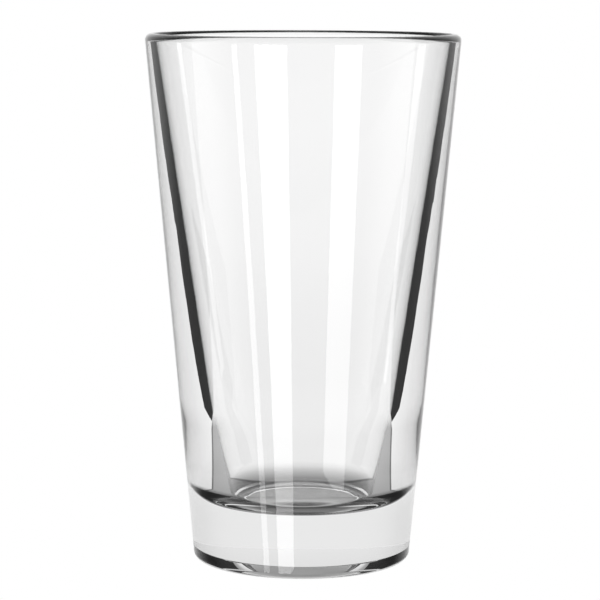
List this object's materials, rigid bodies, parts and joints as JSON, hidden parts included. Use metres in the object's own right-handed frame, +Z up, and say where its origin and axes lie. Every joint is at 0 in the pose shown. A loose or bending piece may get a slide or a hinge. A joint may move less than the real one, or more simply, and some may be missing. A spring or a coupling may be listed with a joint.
{
  "type": "mixing glass",
  "caption": "Straight-sided conical mixing glass with a rounded rim, a wall that thickens downwards and a solid heavy base.",
  "frame": {"origin": "centre of the foot, on the plane that the bearing ring rests on", "axes": "+Z up along the axis of revolution, from the foot to the open rim; X and Y are any two level directions, since the shape is a solid of revolution"},
  "size_m": [0.0886, 0.0886, 0.1492],
  "materials": {
    "clear_glass": "clear, colourless, fire-polished pressed soda-lime glass"
  },
  "bodies": {
    "root": {"glass_body": "clear_glass"}
  },
  "joints": []
}
